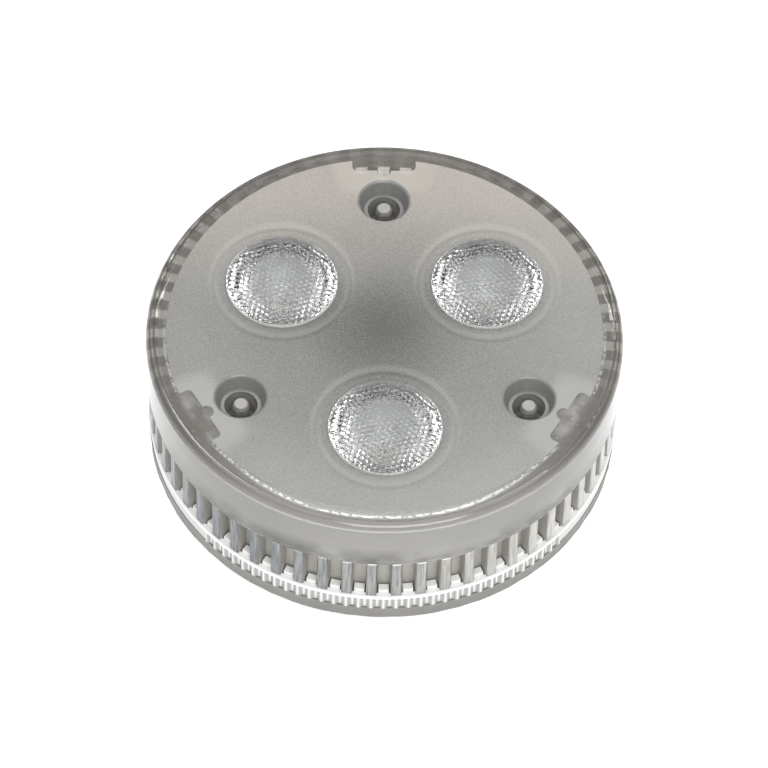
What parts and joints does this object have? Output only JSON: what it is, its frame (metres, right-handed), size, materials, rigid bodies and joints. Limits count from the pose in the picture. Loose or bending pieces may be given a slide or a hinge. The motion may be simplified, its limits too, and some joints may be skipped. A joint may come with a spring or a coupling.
{
  "type": "led disc lamp",
  "caption": "Flat round LED lamp with lenses under a smoky clear cover, a ribbed aluminium heat sink and a twist-lock base with a hub and contact pins.",
  "frame": {"origin": "middle of the hub's rear face, the lowest point when the lamp lies on its back", "axes": "+Z out of the light side, X through both contact pins, one lens towards -Y"},
  "size_m": [0.075, 0.075, 0.0356],
  "materials": {
    "cover_smoke": "smoky clear polycarbonate, frosted over the middle",
    "lens_clear": "clear optical acrylic with a honeycomb face",
    "holder_grey": "moulded grey plastic",
    "heat_sink_cast": "bright cast aluminium, machined ribs",
    "ring_white": "glossy white moulded plastic",
    "base_grey": "satin warm grey moulded plastic",
    "screw_steel": "plated steel, thread formed",
    "pin_nickel": "nickel-plated brass",
    "tag_brass": "tinned brass sheet",
    "board_white": "aluminium board with white solder mask",
    "pad_grey": "soft thermal pad",
    "driver_green": "glass-epoxy board with green solder mask",
    "insulator_amber": "amber insulating film",
    "capacitor_black": "shrink sleeve",
    "capacitor_yellow": "potted plastic box",
    "ferrite_dark": "sintered ferrite",
    "winding_copper": "enamelled copper wire",
    "resistor_green": "flameproof coating",
    "chip_black": "moulded epoxy",
    "emitter_white": "off-white moulded emitter body",
    "dome_clear": "clear silicone over pale phosphor",
    "lead_red": "red insulated lead",
    "lead_black": "black insulated lead",
    "lead_white": "white insulated lead"
  },
  "bodies": {
    "root": {"front_cover": "cover_smoke", "case_screws": "screw_steel", "heat_sink": "heat_sink_cast", "knurled_ring": "ring_white", "base_cup": "base_grey", "thermal_pad": "pad_grey", "led_board": "board_white", "board_screws": "screw_steel", "insulator_disc": "insulator_amber", "driver_board": "driver_green", "main_capacitor": "capacitor_black", "film_capacitor": "capacitor_yellow", "inductor_core": "ferrite_dark", "inductor_winding": "winding_copper", "fuse_resistor": "resistor_green", "bridge_rectifier": "chip_black", "control_ic": "chip_black", "led_lead_positive": "lead_red", "led_lead_negative": "lead_black", "lens_1": "lens_clear", "lens_holder_1": "holder_grey", "led_emitter_1": "emitter_white", "led_dome_1": "dome_clear", "lens_2": "lens_clear", "lens_holder_2": "holder_grey", "led_emitter_2": "emitter_white", "led_dome_2": "dome_clear", "lens_3": "lens_clear", "lens_holder_3": "holder_grey", "led_emitter_3": "emitter_white", "led_dome_3": "dome_clear", "contact_pin_1": "pin_nickel", "pin_tag_1": "tag_brass", "mains_lead_1": "lead_white", "contact_pin_2": "pin_nickel", "pin_tag_2": "tag_brass", "mains_lead_2": "lead_white"}
  },
  "joints": []
}
